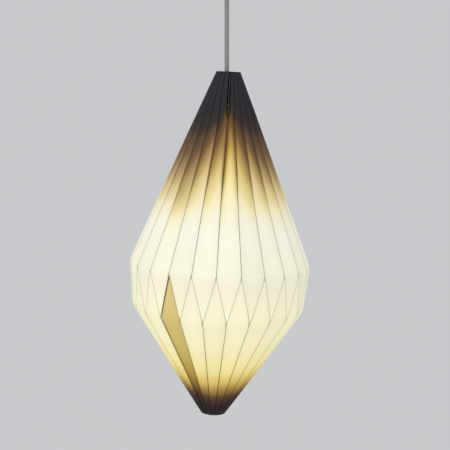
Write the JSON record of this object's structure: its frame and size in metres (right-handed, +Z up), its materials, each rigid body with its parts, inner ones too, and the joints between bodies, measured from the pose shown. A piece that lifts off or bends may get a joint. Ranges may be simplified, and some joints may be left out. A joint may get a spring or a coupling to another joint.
{
  "type": "paper pendant light",
  "caption": "Hanging lamp with a creased paper shade of two joined cones, on a short straight cord from a round ceiling cup, with lampholder and bulb inside.",
  "frame": {"origin": "middle of the bracket's two screw slots, on the ceiling", "axes": "+Z up, out of the ceiling bracket towards the ceiling, with the cord on the Z axis; the picture is taken from the -Y side, with +X to the right"},
  "size_m": [0.2396, 0.2398, 0.6175],
  "materials": {
    "paper": "matt, creased",
    "card": "matt",
    "thread": "waxed cotton",
    "cord_sheath": "satin",
    "white_plastic": "satin",
    "cup_paint": "satin",
    "zinc_steel": "zinc plated",
    "ceramic": "glazed",
    "brass": "bare",
    "nickel": "nickel plated",
    "dark_glass": "black",
    "bulb_white": "satin",
    "opal": "opal",
    "board": "white lacquer",
    "phosphor": "resin",
    "brown_wire": "satin",
    "blue_wire": "satin",
    "white_wire": "satin"
  },
  "bodies": {
    "ceiling": {"ceiling_bracket": "zinc_steel", "threaded_tube": "zinc_steel", "tube_nut": "zinc_steel", "ceiling_cup": "cup_paint", "cord_grip": "white_plastic", "grip_screw": "white_plastic", "cord_head": "cord_sheath", "terminal_block": "white_plastic", "terminal_screws": "zinc_steel", "block_screw": "zinc_steel", "live_wire": "brown_wire", "neutral_wire": "blue_wire"},
    "neck": {"cord_neck": "cord_sheath"},
    "pendant": {"cord": "cord_sheath", "stop_collar": "white_plastic", "stop_screw": "zinc_steel", "holder_grip": "white_plastic", "holder_grip_screw": "white_plastic", "holder_cap": "white_plastic", "holder_skirt": "white_plastic", "holder_insert": "ceramic", "thread_sleeve": "brass", "centre_contact": "brass", "holder_terminals": "brass", "holder_wires": "white_wire"},
    "carrier": {"carrier_dome": "white_plastic"},
    "shade": {"shade_sheet_front": "paper", "shade_sheet_back": "paper", "overlap_front": "paper", "overlap_back": "paper", "top_drawstring": "thread", "bottom_drawstring": "thread", "bottom_disc": "card"},
    "bulb_travel": {"bulb_contact": "nickel"},
    "bulb": {"bulb_insulator": "dark_glass", "bulb_cap": "nickel", "bulb_housing": "bulb_white", "led_board": "board", "led_chips": "phosphor", "bulb_diffuser": "opal"}
  },
  "joints": [
    {"name": "swing_fore_aft", "type": "hinge", "parent": "ceiling", "child": "neck", "pos_m": [0, 0, -0.0548], "axis": [1, 0, 0], "range_deg": [-20, 20]},
    {"name": "swing_sideways", "type": "hinge", "parent": "neck", "child": "pendant", "pos_m": [0, 0, -0.0638], "axis": [0, 1, 0], "range_deg": [-20, 20]},
    {"name": "shade_swivel", "type": "hinge", "parent": "pendant", "child": "carrier", "pos_m": [0, 0, -0.209], "axis": [0, 0, 1], "continuous": true},
    {"name": "shade_rock", "type": "hinge", "parent": "carrier", "child": "shade", "pos_m": [0, 0, -0.209], "axis": [0, 1, 0], "range_deg": [-5.7, 0.5]},
    {"name": "bulb_drop", "type": "slide", "parent": "pendant", "child": "bulb_travel", "axis": [0, 0, -1], "range_m": [0, 0.02534]},
    {"name": "bulb_turn", "type": "hinge", "parent": "bulb_travel", "child": "bulb", "pos_m": [0, 0, -0.392], "axis": [0, 0, -1], "range_deg": [0, 2521]}
  ],
  "couplings": [
    {"joint": "bulb_turn", "follows": "bulb_drop", "rad_per_m": 1735.7}
  ]
}
